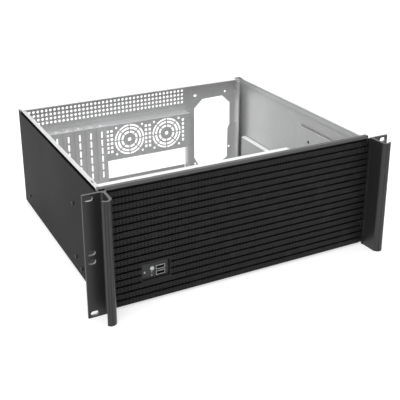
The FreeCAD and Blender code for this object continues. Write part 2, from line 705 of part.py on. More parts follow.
def fan_wall():
    mid = SHEET / 2
    left = -INNER_X
    web_outline = xz_rect(left + BEND, WALL_RIGHT_X - BEND, FLOOR_Z + BEND, WALL_TOP_Z - BEND)
    holes = []
    offset = WALL_FAN_PITCH / 2
    for fan in range(BIG_FAN_COUNT):
        x = left + (BIG_FAN + WALL_FAN_GAP) * (fan + 1 / 2)
        holes.append(xz_circle(x, WALL_FAN_Z, WALL_FAN_R))
        for sx in (-1, 1):
            for sz in (-1, 1):
                holes.append(xz_circle(x + sx * offset, WALL_FAN_Z + sz * offset, WALL_FAN_HOLE_R))
    web = plate_y(web_outline, holes, WALL_Y, SHEET)
    web_y = WALL_Y + mid
    back_y = WALL_Y + WALL_FLANGE
    upper = folded_along_x(
        [(web_y, WALL_TOP_Z - BEND), (web_y, WALL_TOP_Z - mid), (back_y, WALL_TOP_Z - mid)],
        left + BEND, WALL_RIGHT_X - BEND, bend=TIGHT_BEND)
    lower = folded_along_x(
        [(web_y, FLOOR_Z + BEND), (web_y, FLOOR_Z + mid), (back_y, FLOOR_Z + mid)],
        left + BEND, WALL_RIGHT_X - BEND, bend=TIGHT_BEND)
    left_end = folded_along_z(
        [(left + BEND, web_y), (left + mid, web_y), (left + mid, back_y)],
        FLOOR_Z + BEND, WALL_TOP_Z - BEND, bend=TIGHT_BEND)
    right_end = folded_along_z(
        [(WALL_RIGHT_X - BEND, web_y), (WALL_RIGHT_X - mid, web_y), (WALL_RIGHT_X - mid, back_y)],
        FLOOR_Z + BEND, WALL_TOP_Z - BEND, bend=TIGHT_BEND)
    wall = fused([web, upper, lower, left_end, right_end])
    for y, z in WALL_SCREWS:
        wall = wall.cut(rod((-HALF_W, y, z), (1, 0, 0), SCREW_R + CLEARANCE, SHEET * 2 + CUT))
    return wall


def rounded_window(x, z0, z1):
    half = WINDOW_W / 2
    sharp = plate_y(xz_rect(x - half, x + half, z0, z1), [], BULKHEAD_Y - CUT, SHEET + CUT * 2)
    upright = [e for e in sharp.Edges if abs(e.tangentAt(e.FirstParameter).y) > ALONG]
    return sharp.makeFillet(WINDOW_CORNER_R, upright)


def front_bulkhead():
    mid = SHEET / 2
    web_y = BULKHEAD_Y + mid
    lip_y = BULKHEAD_Y + BULKHEAD_FLANGE - mid
    top = BULKHEAD_TOP_Z - mid
    reach = INNER_X - BULKHEAD_GAP
    shell = folded_along_x(
        [(BULKHEAD_Y + BULKHEAD_FOOT, FLOOR_Z + mid), (web_y, FLOOR_Z + mid), (web_y, top),
         (lip_y, top), (lip_y, BULKHEAD_TOP_Z - BULKHEAD_LIP)],
        -reach, reach, bend=TIGHT_BEND)
    pieces = [shell]
    for side in (-1, 1):
        x0, x1 = sorted((side * (reach - CUT), side * HALF_W))
        outer0, outer1 = sorted((side * INNER_X, side * HALF_W))
        y0 = BULKHEAD_Y + mid
        y1 = BULKHEAD_Y + BULKHEAD_FLANGE - mid
        pieces.append(box(x0, x1, y0, y1, BULKHEAD_TOP_Z - SHEET, BULKHEAD_TOP_Z))
        pieces.append(box(outer0, outer1, y0, y1, TOP_Z + WELD_GAP, BULKHEAD_TOP_Z))
        tab0, tab1 = sorted((side * (reach - SHEET), side * (INNER_X - WELD_GAP)))
        pieces.append(box(
            tab0, tab1, y0, BULKHEAD_Y + BULKHEAD_TAB, FLOOR_Z + BULKHEAD_TAB_LIFT, TOP_Z - FLANGE_DROP))
    bulkhead = fused(pieces)
    margin = BOARD_MARGIN + CUT
    x0, x1 = RECESS_X - margin, RECESS_X + RECESS_W + margin
    bulkhead = bulkhead.cut(box(
        x0, x1, BULKHEAD_Y - CUT, BULKHEAD_Y + SHEET + CUT, RECESS_Z - margin, RECESS_Z + RECESS_H + margin))
    low = FLOOR_Z + WINDOW_LOW
    high = BULKHEAD_TOP_Z - WINDOW_HIGH
    split = (low + high) / 2
    columns = int((reach * 2 - WINDOW_W) / WINDOW_PITCH) + 1
    for column in range(columns):
        x = (column - (columns - 1) / 2) * WINDOW_PITCH
        bulkhead = bulkhead.cut(rounded_window(x, split + WINDOW_GAP / 2, high))
        half = WINDOW_W / 2 + margin
        if x + half < x0 or x - half > x1:
            bulkhead = bulkhead.cut(rounded_window(x, low, split - WINDOW_GAP / 2))
    return bulkhead


def front_bezel():
    z0, z1 = BEZEL_END, EAR_H - BEZEL_END
    skin_y = BEZEL_FRONT_Y + GROOVE_D + BEZEL_SKIN
    slab = box(-BEZEL_HALF_W, BEZEL_HALF_W, BEZEL_FRONT_Y, BEZEL_BACK_Y, z0, z1)
    hollow = box(
        -BEZEL_HALF_W + BEZEL_WALL, BEZEL_HALF_W - BEZEL_WALL, skin_y, BEZEL_BACK_Y + CUT,
        z0 + BEZEL_WALL, z1 - BEZEL_WALL)
    bezel = slab.cut(hollow)
    grooves = []
    middle = (z0 + z1 - BEZEL_LOW_RIM) / 2
    for gap in range(RIB_COUNT + 1):
        z = middle + (gap - RIB_COUNT / 2) * RIB_PITCH
        low = z - GROOVE_W / 2 if gap > 0 else z0 - CUT
        grooves.append(box(
            -BEZEL_HALF_W - CUT, BEZEL_HALF_W + CUT, BEZEL_FRONT_Y - CUT, BEZEL_FRONT_Y + GROOVE_D,
            low, z + GROOVE_W / 2))
    bezel = bezel.cut(Part.makeCompound(grooves))
    x0, x1 = RECESS_X, RECESS_X + RECESS_W
    low, high = RECESS_Z, RECESS_Z + RECESS_H
    frame = box(
        x0 - RECESS_WALL, x1 + RECESS_WALL, BEZEL_FRONT_Y, BEZEL_BACK_Y,
        low - RECESS_WALL, high + RECESS_WALL)
    bezel = bezel.fuse(frame).removeSplitter()
    recess = box(x0, x1, BEZEL_FRONT_Y - CUT, BEZEL_BACK_Y + CUT, low, high)
    return bezel.cut(recess)


def flute_places():
    # Spread over the outer face of the hook's bend, about its middle direction.
    corner = HANDLE_LINE[2]
    into = unit(corner, HANDLE_LINE[1])
    out = unit(corner, HANDLE_LINE[3])
    middle = math.atan2(into[1] + out[1], into[0] + out[0])
    half = math.acos(into[0] * out[0] + into[1] * out[1]) / 2
    reach = HANDLE_BEND / math.sin(half)
    centre = (corner[0] + reach * math.cos(middle), corner[1] + reach * math.sin(middle))
    radius = HANDLE_BEND + HANDLE_T / 2
    angles = [middle + math.pi + (k - (FLUTES - 1) / 2) * FLUTE_STEP for k in range(FLUTES)]
    return [(centre[0] + radius * math.cos(a), centre[1] + radius * math.sin(a)) for a in angles]


def handle():
    # The right-hand extrusion: ear, foot, and a web that curls outwards into a finger hook.
    ear = box(EAR_FOOT_X, EAR_HALF_W, 0, EAR_T, 0, EAR_H)
    hook = folded_along_z(list(HANDLE_LINE), 0, EAR_H, HANDLE_T, HANDLE_BEND)
    body = ear.fuse(hook).removeSplitter()
    tip_x, tip_y = HANDLE_LINE[3]
    long_edges = []
    for edge in body.Edges:
        middle = edge.CenterOfMass
        is_tip = math.hypot(middle.x - tip_x, middle.y - tip_y) < HANDLE_T / 2 + WELD_GAP
        if edge.Length > EAR_H - CUT and (is_tip or middle.x > EAR_HALF_W - CLEARANCE):
            long_edges.append(edge)
    body = body.makeFillet(HANDLE_EDGE_R, long_edges)
    root_face_x = HANDLE_ROOT_X + HANDLE_T / 2
    inside = [e for e in body.Edges if e.Length > EAR_H - CUT
              and math.hypot(e.CenterOfMass.x - root_face_x, e.CenterOfMass.y) < WELD_GAP]
    body = body.makeFillet(HANDLE_FILLET_R, inside)
    for x, y in flute_places():
        body = body.cut(rod((x, y, -CUT), (0, 0, 1), FLUTE_R, EAR_H + CUT * 2))
    seat = box(EAR_FOOT_X - CUT, EAR_SEAT_X, EAR_T - EAR_SEAT_D, EAR_T + CUT, -CUT, EAR_H + CUT)
    body = body.cut(seat)
    for z in RACK_HOLES_Z:
        slot = plate_y(xz_slot(RACK_HOLE_X, z, RACK_SLOT_L, RACK_SLOT_W), [], -CUT, EAR_T + CUT * 2)
        body = body.cut(slot)
    for z in HANDLE_SCREWS_Z:
        start = (HANDLE_SCREW_X, EAR_T + CUT, z)
        body = body.cut(rod(start, (0, -1, 0), HANDLE_SCREW_R + CLEARANCE / 2, HANDLE_HOLE_L))
    return body


def handle_screws():
    seats = []
    for side in (-1, 1):
        for z in HANDLE_SCREWS_Z:
            seats.append((side * HANDLE_SCREW_X, WALL_FRONT_Y + SHEET, z))
    return screws(seats, (0, -1, 0), HANDLE_SCREW_R, HANDLE_SCREW_L, HANDLE_HEAD_R, HANDLE_HEAD_H)


def post_places():
    left, right = RECESS_X + POST_EDGE, RECESS_X + RECESS_W - POST_EDGE
    low, high = RECESS_Z + POST_LOW, RECESS_Z + RECESS_H - POST_LOW
    return ((left, high), (right, high), (left, low), (right, low))


def control_plate():
    x0 = RECESS_X + PLATE_GAP
    x1 = RECESS_X + RECESS_W - PLATE_GAP
    z0 = RECESS_Z + PLATE_GAP
    z1 = RECESS_Z + RECESS_H - PLATE_GAP
    holes = [
        xz_circle(POWER_XZ[0], POWER_XZ[1], POWER_R + BUTTON_GAP),
        xz_circle(RESET_XZ[0], RESET_XZ[1], RESET_R + BUTTON_GAP),
    ]
    for x, z in LAMPS_XZ:
        holes.append(xz_circle(x, z, LAMP_R + LAMP_GAP))
    half_w = USB_W / 2 + WELD_GAP
    half_h = USB_H / 2 + WELD_GAP
    for z in USB_CENTRES_Z:
        holes.append(xz_rect(USB_X - half_w, USB_X + half_w, z - half_h, z + half_h))
    plate = plate_y(xz_rect(x0, x1, z0, z1), holes, PLATE_Y, PLATE_T)
    posts = [rod((x, PLATE_BACK_Y - PLATE_T / 2, z), (0, 1, 0), POST_R, BOARD_SPACE + PLATE_T / 2)
             for x, z in post_places()]
    plate = fused([plate] + posts)
    for x, z in post_places():
        start = (x, BOARD_Y + CUT, z)
        plate = plate.cut(rod(start, (0, -1, 0), BOARD_SCREW_R + WELD_GAP / 2, BOARD_SCREW_L + CUT))
    return plate


def button(centre, radius, proud, travel):
    # A round cap with a collar behind the plate, and a stem that ends short of its switch.
    x, z = centre
    front_y = PLATE_Y - proud
    switch_y = BOARD_Y - SWITCH_H
    collar_y = PLATE_BACK_Y + COLLAR_GAP
    cap = rod((x, front_y, z), (0, 1, 0), radius, collar_y - front_y + COLLAR_T / 2)
    rims = [e for e in cap.Edges if e.Closed and e.CenterOfMass.y < front_y + CLEARANCE]
    cap = cap.makeFillet(radius / 6, rims)
    collar = rod((x, collar_y, z), (0, 1, 0), radius + COLLAR_W, COLLAR_T)
    stem = rod((x, collar_y, z), (0, 1, 0), radius / 2, switch_y - travel - SWITCH_GAP - collar_y)
    return fused([cap, collar, stem])


def lamp(centre):
    x, z = centre
    front_y = PLATE_Y - LAMP_PROUD
    lens = rod((x, front_y, z), (0, 1, 0), LAMP_R, BOARD_Y - front_y)
    rims = [e for e in lens.Edges if e.Closed and e.CenterOfMass.y < front_y + CLEARANCE]
    return lens.makeFillet(LAMP_R / 2, rims)


def usb_socket(z):
    # A metal shell with its mouth to the front, and the contact tongue inside.
    half_w = USB_W / 2
    half_h = USB_H / 2
    front_y = PLATE_Y - USB_PROUD
    shell = box(USB_X - half_w, USB_X + half_w, front_y, BOARD_Y, z - half_h, z + half_h)
    inner = box(
        USB_X - half_w + USB_SHELL, USB_X + half_w - USB_SHELL, front_y - CUT, BOARD_Y - USB_SHELL * 2,
        z - half_h + USB_SHELL, z + half_h - USB_SHELL)
    tongue_x = half_w - USB_SHELL * 3
    high = z + half_h - USB_SHELL * 2
    tongue = box(
        USB_X - tongue_x, USB_X + tongue_x, front_y + USB_SHELL * 3, BOARD_Y - USB_SHELL,
        high - USB_TONGUE, high)
    return shell.cut(inner).fuse(tongue).removeSplitter()


def control_board():
    x0 = RECESS_X - BOARD_MARGIN
    x1 = RECESS_X + RECESS_W + BOARD_MARGIN
    z0 = RECESS_Z - BOARD_MARGIN
    z1 = RECESS_Z + RECESS_H + BOARD_MARGIN
    back_y = BOARD_Y + BOARD_T
    pieces = [box(x0, x1, BOARD_Y, back_y, z0, z1)]
    half = SWITCH_HALF_W
    for x, z in (POWER_XZ, RESET_XZ):
        pieces.append(box(x - half, x + half, BOARD_Y - SWITCH_H, BOARD_Y + BOARD_T / 2, z - half, z + half))
    header_x = x0 + HEADER_EDGE
    header_z = z0 + BOARD_MARGIN
    pieces.append(box(
        header_x, header_x + HEADER_W, BOARD_Y + BOARD_T / 2, back_y + HEADER_D,
        header_z, header_z + HEADER_H))
    whole = fused(pieces)
    for x, z in post_places():
        whole = whole.cut(rod((x, BOARD_Y - CUT, z), (0, 1, 0), BOARD_SCREW_R + CLEARANCE, BOARD_T + CUT * 2))
    return whole


def control_screws():
    seats = [(x, BOARD_Y + BOARD_T, z) for x, z in post_places()]
    return screws(seats, (0, -1, 0), BOARD_SCREW_R, BOARD_SCREW_L, BOARD_HEAD_R, BOARD_HEAD_H)


def psu_bracket():
    mid = SHEET / 2
    x = SUPPORT_X + mid
    outer = INNER_X - SUPPORT_GAP
    low = FLOOR_Z + mid
    high = FLOOR_Z + SUPPORT_H - mid
    bracket = folded_along_y([(outer, low), (x, low), (x, high), (outer, high)], SUPPORT_Y[0], SUPPORT_Y[1])
    for y in SUPPORT_SCREWS_Y:
        start = (SUPPORT_SCREW_X, y, FLOOR_Z - CUT)
        bracket = bracket.cut(rod(start, (0, 0, 1), SCREW_R + CLEARANCE, SHEET + CUT * 2))
    return bracket


def psu_bracket_screws():
    seats = [(SUPPORT_SCREW_X, y, FLOOR_Z + SHEET) for y in SUPPORT_SCREWS_Y]
    return screws(seats, (0, 0, -1), shank_l=SHEET * 2)


def wall_plate():
    # A shallow cover that stands off the right wall on two feet.
    near = INNER_X - SHEET / 2
    far = near - GUARD_STAND
    line = [
        (near, GUARD_Y[0] - GUARD_FOOT), (near, GUARD_Y[0]), (far, GUARD_Y[0]),
        (far, GUARD_Y[1]), (near, GUARD_Y[1]), (near, GUARD_Y[1] + GUARD_FOOT)]
    plate = folded_along_z(line, GUARD_Z[0], GUARD_Z[1], bend=TIGHT_BEND)
    start = (far - SHEET / 2 - CUT, GUARD_HOLE[0], GUARD_HOLE[1])
    return plate.cut(rod(start, (1, 0, 0), GUARD_HOLE_R, SHEET + CUT * 2))


def board_standoffs():
    solids = []
    radius = STANDOFF_FLAT / math.sqrt(3)
    for across in BOARD_HOLES_X:
        for along in BOARD_HOLES_Y:
            x = STANDOFF_X - across
            y = STANDOFF_Y - along
            ring = [(x + radius * math.cos(math.pi / 3 * k), y + radius * math.sin(math.pi / 3 * k), FLOOR_Z)
                    for k in range(6)]
            post = Part.Face(polygon(ring)).extrude(vec(0, 0, STANDOFF_H))
            top = FLOOR_Z + STANDOFF_H
            solids.append(post.cut(rod((x, y, top), (0, 0, -1), STANDOFF_BORE_R, STANDOFF_BORE_L)))
    return Part.makeCompound(solids)


def rear_rivets():
    solids = []
    seat_x = PANEL_RIGHT_X - SHEET
    for z in RIVETS_Z:
        seat = (seat_x, RIVET_Y, z)
        head = rod(seat, (-1, 0, 0), RIVET_HEAD_R, RIVET_HEAD_H)
        rims = [e for e in head.Edges if e.Closed and e.CenterOfMass.x < seat_x - RIVET_HEAD_H / 2]
        head = head.makeFillet(RIVET_HEAD_H * 3 / 4, rims)
        reach = SHEET * 2 + WELD_GAP
        shank = rod(seat, (1, 0, 0), RIVET_R, reach)
        tail = rod((seat_x + reach, RIVET_Y, z), (1, 0, 0), RIVET_R + RIVET_TAIL_W, RIVET_TAIL_H)
        solids.append(fused([head, shank, tail]))
    return Part.makeCompound(solids)


os.makedirs("parts", exist_ok=True)
right_handle = handle()
front_y = right_handle.optimalBoundingBox(False, False).YMin
SHIFT_Y = -(front_y + DEPTH) / 2

save("chassis_tray", chassis_tray())
save("rear_panel", rear_panel())
save("rear_insert", rear_insert())
for slot in range(SLOT_COUNT):
    save("slot_cover_" + str(slot + 1), slot_cover(SLOT_FIRST_X - SLOT_PITCH * slot))
save("slot_cover_screws", slot_cover_screws())
save("front_bulkhead", front_bulkhead())
save("fan_wall", fan_wall())
save("fan_wall_screws", screws([(-HALF_W, y, z) for y, z in WALL_SCREWS], (1, 0, 0)))
save("side_screws", screws([(-HALF_W, y, z) for y, z in SIDE_SCREWS], (1, 0, 0)))
save("front_bezel", front_bezel())
save("handle_right", right_handle)
save("handle_left", mirrored(right_handle))
save("handle_screws", handle_screws())
save("control_plate", control_plate())
save("power_button", button(POWER_XZ, POWER_R, POWER_PROUD, POWER_TRAVEL))
save("reset_button", button(RESET_XZ, RESET_R, RESET_PROUD, RESET_TRAVEL))
save("power_lamp", lamp(LAMPS_XZ[0]))
save("drive_lamp", lamp(LAMPS_XZ[1]))
save("usb_socket_upper", usb_socket(USB_CENTRES_Z[0]))
save("usb_socket_lower", usb_socket(USB_CENTRES_Z[1]))
save("control_board", control_board())
save("control_screws", control_screws())
save("psu_bracket", psu_bracket())
save("psu_bracket_screws", psu_bracket_screws())
save("wall_plate", wall_plate())
save("board_standoffs", board_standoffs())
save("rear_rivets", rear_rivets())
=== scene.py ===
import bpy
import bmesh
import math
from mathutils import Matrix, Vector


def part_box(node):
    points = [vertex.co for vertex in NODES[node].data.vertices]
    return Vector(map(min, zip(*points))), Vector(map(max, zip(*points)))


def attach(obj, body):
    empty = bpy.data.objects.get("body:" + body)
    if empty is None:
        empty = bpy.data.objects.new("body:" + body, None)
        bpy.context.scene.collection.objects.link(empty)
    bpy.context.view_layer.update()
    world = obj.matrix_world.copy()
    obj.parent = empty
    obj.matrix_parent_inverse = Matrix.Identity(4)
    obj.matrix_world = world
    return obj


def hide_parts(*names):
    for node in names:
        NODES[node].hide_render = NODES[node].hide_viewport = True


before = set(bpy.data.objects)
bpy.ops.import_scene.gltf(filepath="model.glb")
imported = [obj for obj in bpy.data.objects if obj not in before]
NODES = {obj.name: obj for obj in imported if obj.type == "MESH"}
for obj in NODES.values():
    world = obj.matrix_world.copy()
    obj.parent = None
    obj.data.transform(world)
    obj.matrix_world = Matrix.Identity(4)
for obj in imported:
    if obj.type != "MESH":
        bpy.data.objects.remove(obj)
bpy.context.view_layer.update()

CASE = "case"

# The scene is in metres, in the CAD's frame: x to the right, y from front to rear, z up.
MM = 0.001

EAR_T = 3.5 * MM
BEZEL_LO, BEZEL_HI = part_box("front_bezel")
HANDLE_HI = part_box("handle_left")[1]
EAR_FRONT_Y = HANDLE_HI[1] - EAR_T
TRAY_LO, TRAY_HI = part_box("chassis_tray")


# ---------------------------------------------------------------- node trees

# Where a colour fade begins and ends on a noise that runs from 0 to 1
SOFT = (0.3, 0.7)

# Least share of a face's normal that counts as looking that way
UPWARD = 0.4
DOWNWARD = 0.3
SIDEWAYS = 0.2
LEVEL = 0.7

# Most share of a face's normal, toward the front or rear, that counts as a hole's wall
HOLE_WALL = 0.3


def grey(tone):
    return (tone, tone, tone)


def tinted(tone, red, green, blue):
    return (tone * red, tone * green, tone * blue)


class Tree:
    # The cleared node tree of a material or world, and the steps that its shaders share.

    def __init__(self, owner):
        owner.use_nodes = True
        self.nodes = owner.node_tree.nodes
        self.links = owner.node_tree.links
        self.nodes.clear()

    def add(self, kind, **values):
        item = self.nodes.new(kind)
        for key, value in values.items():
            if key in item.inputs:
                item.inputs[key].default_value = value
            else:
                setattr(item, key, value)
        return item

    def feed(self, socket, value):
        # A number or a colour is set on the socket itself, and another node's output is linked to it.
        if isinstance(value, (int, float)):
            socket.default_value = value
        elif isinstance(value, tuple):
            socket.default_value = (*value, 1.0)
        else:
            self.links.new(value, socket)

    def calc(self, operation, *values, clamp=False):
        item = self.add("ShaderNodeMath", operation=operation, use_clamp=clamp)
        for socket, value in zip(item.inputs, values):
            self.feed(socket, value)
        return item.outputs[0]

    def above(self, value, limit):
        return self.calc("GREATER_THAN", value, limit)

    def under(self, value, limit):
        return self.calc("LESS_THAN", value, limit)

    def all_of(self, mask, *others):
        for other in others:
            mask = self.calc("MULTIPLY", mask, other)
        return mask

    def any_of(self, mask, *others):
        for other in others:
            mask = self.calc("MAXIMUM", mask, other)
        return mask

    def mix(self, share, a, b, blend="MIX"):
        item = self.add("ShaderNodeMix", data_type="RGBA", blend_type=blend)
        for socket, value in ((item.inputs[0], share), (item.inputs[6], a), (item.inputs[7], b)):
            self.feed(socket, value)
        return item.outputs[2]

    def mix_values(self, share, a, b):
        item = self.add("ShaderNodeMix", data_type="FLOAT")
        for socket, value in ((item.inputs[0], share), (item.inputs[2], a), (item.inputs[3], b)):
            self.feed(socket, value)
        return item.outputs[0]

    def seen(self):
        # 1 where a ray comes straight from the camera, off a glossy surface or through a clear one, else 0.
        path = self.add("ShaderNodeLightPath")
        rays = ("Is Camera Ray", "Is Glossy Ray", "Is Transmission Ray")
        return self.any_of(*(path.outputs[ray] for ray in rays))


class Finish(Tree):
    # A material whose textures are fixed to the piece.

    def __init__(self, name):
        self.material = bpy.data.materials.new(name)
        super().__init__(self.material)
        self.coords = self.add("ShaderNodeTexCoord").outputs["Object"]

    def noise(self, scale, detail=3.0, stretch=None):
        source = self.coords
        if stretch is not None:
            mapping = self.add("ShaderNodeMapping", Scale=stretch)
            self.links.new(self.coords, mapping.inputs["Vector"])
            source = mapping.outputs["Vector"]
        texture = self.add("ShaderNodeTexNoise", Scale=scale, Detail=detail)
        self.links.new(source, texture.inputs["Vector"])
        return texture.outputs["Fac"]

    def fade(self, value, span, low, high):
        item = self.add("ShaderNodeValToRGB")
        for element, position, colour in zip(item.color_ramp.elements, span, (low, high)):
            element.position = position
            element.color = (*colour, 1.0)
        self.links.new(value, item.inputs["Fac"])
        return item.outputs["Color"]

    def roughness(self, value, gain, low):
        return self.calc("MULTIPLY_ADD", value, gain, low)

    def axes(self, output):
        # X, Y and Z of the shaded point's Position, or of its True Normal.
        geometry = self.add("ShaderNodeNewGeometry")
        parts = self.add("ShaderNodeSeparateXYZ")
        self.links.new(geometry.outputs[output], parts.inputs[0])
        return parts.outputs

    def edge_mask(self, radius, gain):
        # Where the true normal and a rounded one differ, there is an edge.
        bevel = self.add("ShaderNodeBevel", samples=4, Radius=radius)
        geometry = self.add("ShaderNodeNewGeometry")
        dot = self.add("ShaderNodeVectorMath", operation="DOT_PRODUCT")
        self.links.new(bevel.outputs["Normal"], dot.inputs[0])
        self.links.new(geometry.outputs["True Normal"], dot.inputs[1])
        away = self.calc("SUBTRACT", 1.0, dot.outputs["Value"], clamp=True)
        return self.calc("MULTIPLY", away, gain, clamp=True)

    def bump(self, height, strength=0.15, distance=0.02 * MM):
        item = self.add("ShaderNodeBump", Strength=strength, Distance=distance)
        self.links.new(height, item.inputs["Height"])
        return item.outputs["Normal"]

    def shade(self, base, rough, normal=None, **settings):
        # A setting has the name of the shader's own socket, with underscores for its spaces.
        shader = self.add("ShaderNodeBsdfPrincipled")
        self.feed(shader.inputs["Base Color"], base)
        self.feed(shader.inputs["Roughness"], rough)
        for name, value in settings.items():
            self.feed(shader.inputs[name.replace("_", " ")], value)
        if normal is not None:
            self.links.new(normal, shader.inputs["Normal"])
        output = self.add("ShaderNodeOutputMaterial")
        self.links.new(shader.outputs["BSDF"], output.inputs["Surface"])
        return self.material


# ---------------------------------------------------------------- zinc plate

ZINC_TONE = 0.65
ZINC_METALLIC = 0.45
# Painted highlight: the zinc's edges and bends are painted lighter, for the light that their rounded bends
# catch
SHEET_EDGE_R = 1.2 * MM
SHEET_EDGE_HIGHLIGHT = 2.0
EDGE_HIGHLIGHT_TONE_MAX = 0.9


def zinc_layers(finish, tone):
    # Zinc plate: soft spangle, faint rolling lines, cloudy handling marks.
    cloud = finish.noise(scale=9.0, detail=4.0)
    fine = finish.noise(scale=420.0, detail=2.0)
    rolled = finish.noise(scale=60.0, detail=2.0, stretch=(1.0, 14.0, 14.0))
    spangle = finish.add("ShaderNodeTexVoronoi", Scale=170.0)
    finish.links.new(finish.coords, spangle.inputs["Vector"])
    flakes = finish.add("ShaderNodeSeparateColor")
    finish.links.new(spangle.outputs["Color"], flakes.inputs["Color"])
    flake_tones = finish.fade(flakes.outputs["Red"], (0.0, 1.0), grey(tone * 0.8), grey(tone * 1.15))
    line_tones = finish.fade(rolled, (0.35, 0.65), grey(tone * 0.85), grey(tone * 1.1))
    base = finish.fade(cloud, SOFT, grey(tone * 0.93), tinted(tone, 1.02, 1.03, 1.04))
    base = finish.mix(0.10, base, flake_tones)
    base = finish.mix(0.12, base, line_tones)
    rough = finish.roughness(cloud, gain=0.16, low=0.34)
    height = finish.calc("ADD", fine, flakes.outputs["Green"])
    return base, rough, height


def zinc_bump(finish, height):
    return finish.bump(height, strength=0.10, distance=0.06 * MM)


def zinc_material(name, tone=ZINC_TONE):
    finish = Finish(name)
    base, rough, height = zinc_layers(finish, tone)
    # Painted highlight: edges and bends are painted lighter.
    edges = finish.edge_mask(SHEET_EDGE_R, SHEET_EDGE_HIGHLIGHT)
    base = finish.mix(edges, base, grey(min(tone * 1.35, EDGE_HIGHLIGHT_TONE_MAX)))
    return finish.shade(base, rough, zinc_bump(finish, height), Metallic=ZINC_METALLIC)


def lit_top_zinc_material(name, side_tone, lit_top_tone):
    # Zinc plate whose upper faces are painted lighter than its sides: a painted highlight for the light that
    # falls on them from above.
    finish = Finish(name)
    side, rough, height = zinc_layers(finish, side_tone)
    top = zinc_layers(finish, lit_top_tone)[0]
    upward = finish.above(finish.axes("True Normal")["Z"], UPWARD)
    base = finish.mix(upward, side, top)
    return finish.shade(base, rough, zinc_bump(finish, height), Metallic=0.2)


# ---------------------------------------------------------------- powder coat and the coated tray

TRAY_COAT_TONE = 0.013
# Painted highlight on the tray's zinc edges and bends
TRAY_EDGE_HIGHLIGHT_TONE = 0.8

# How far in from the tray's box each stretch of its coat reaches
COAT_SIDE_IN = 2.1 * MM
COAT_BELOW_IN = 2.0 * MM
COAT_FRONT_IN = 8.5 * MM
COAT_REAR_IN = 1.1 * MM
COAT_RIGHT_IN = 1.6 * MM

# Painted shade: the flanges along the top and the floor are painted darker than the walls
SHADE_TOP_IN = 3.0 * MM
PAINTED_SHADE_TOP = 0.22
SHADE_FLOOR_H = 12.0 * MM
PAINTED_SHADE_FLOOR = 0.34


def powder_layers(finish, tone):
    # Fine-texture powder coat: a small orange peel, faint dust, paler rubbed edges.
    peel = finish.noise(scale=900.0, detail=2.0)
    soft = finish.noise(scale=7.0, detail=4.0)
    dust = finish.noise(scale=160.0)
    marks = finish.noise(scale=45.0, detail=5.0)
    base = finish.fade(soft, SOFT, grey(tone * 0.85), tinted(tone, 1.12, 1.12, 1.16))
    base = finish.mix(0.25, base, finish.fade(dust, (0.45, 0.75), grey(tone * 0.8), grey(tone * 1.9)))
    edges = finish.edge_mask(radius=0.9 * MM, gain=1.6)
    scuffs = finish.fade(marks, (0.45, 0.62), grey(0.0), grey(1.0))
    wear = finish.mix(1.0, edges, scuffs, "MULTIPLY")
    base = finish.mix(wear, base, grey(tone * 5.0))
    rough = finish.roughness(soft, gain=0.14, low=0.36)
    return base, rough, peel


def powder_material(name, tone):
    finish = Finish(name)
    base, rough, peel = powder_layers(finish, tone)
    return finish.shade(base, rough, finish.bump(peel, strength=0.25, distance=0.05 * MM))


def coated_faces(finish, place, facing):
    # Mask of the tray's outer faces and underside, its front lips and rear edge, and its right edge.
    across = finish.calc("ABSOLUTE", place["X"])
    sideways = finish.calc("ABSOLUTE", facing["X"])
    outward = finish.calc("MULTIPLY", place["X"], facing["X"])
    downward = finish.calc("MULTIPLY", facing["Z"], -1.0)
    side = finish.all_of(
        finish.above(across, TRAY_HI[0] - COAT_SIDE_IN),
        finish.above(sideways, SIDEWAYS), finish.above(outward, 0.0))
    below = finish.all_of(
        finish.above(downward, DOWNWARD), finish.under(place["Z"], TRAY_LO[2] + COAT_BELOW_IN))
    front = finish.under(place["Y"], TRAY_LO[1] + COAT_FRONT_IN)
    rear = finish.above(place["Y"], TRAY_HI[1] - COAT_REAR_IN)
    right = finish.all_of(
        finish.above(place["X"], TRAY_HI[0] - COAT_RIGHT_IN), finish.above(facing["X"], -SIDEWAYS))
    return finish.any_of(side, below, front, rear, right)


def zinc_with_painted_shade(finish, zinc, place, facing):
    # Painted shade: darker on the top flanges and on the floor near the bottom.
    top = finish.above(place["Z"], TRAY_HI[2] - SHADE_TOP_IN)
    floor = finish.all_of(
        finish.above(facing["Z"], LEVEL), finish.under(place["Z"], TRAY_LO[2] + SHADE_FLOOR_H))
    painted_shade = finish.calc(
        "ADD", finish.calc("MULTIPLY", top, PAINTED_SHADE_TOP), finish.calc("MULTIPLY", floor, PAINTED_SHADE_FLOOR))
    scaled = finish.add("ShaderNodeVectorMath", operation="SCALE")
    finish.links.new(zinc, scaled.inputs[0])
    finish.links.new(finish.calc("SUBTRACT", 1.0, painted_shade), scaled.inputs["Scale"])
    return scaled.outputs[0]


def tray_material():
    # One sheet: powder coat on its outer side, bare zinc plate inside and on the folded-in flanges.
    finish = Finish("tray_coated_steel")
    place = finish.axes("Position")
    facing = finish.axes("True Normal")
    coated = coated_faces(finish, place, facing)
    bare = finish.calc("SUBTRACT", 1.0, coated)
    zinc, zinc_rough, zinc_height = zinc_layers(finish, ZINC_TONE)
    # Painted highlight: the zinc's edges and bends are painted lighter.
    edges = finish.edge_mask(SHEET_EDGE_R, SHEET_EDGE_HIGHLIGHT)
    zinc = finish.mix(edges, zinc_with_painted_shade(finish, zinc, place, facing), grey(TRAY_EDGE_HIGHLIGHT_TONE))
    coat, coat_rough, coat_height = powder_layers(finish, TRAY_COAT_TONE)
    base = finish.mix(coated, zinc, coat)
    rough = finish.mix_values(coated, zinc_rough, coat_rough)
    height = finish.mix_values(coated, zinc_height, coat_height)
    normal = finish.bump(height, strength=0.18, distance=0.06 * MM)
    metallic = finish.calc("MULTIPLY", bare, ZINC_METALLIC)
    return finish.shade(base, rough, normal, IOR=1.09, Metallic=metallic)


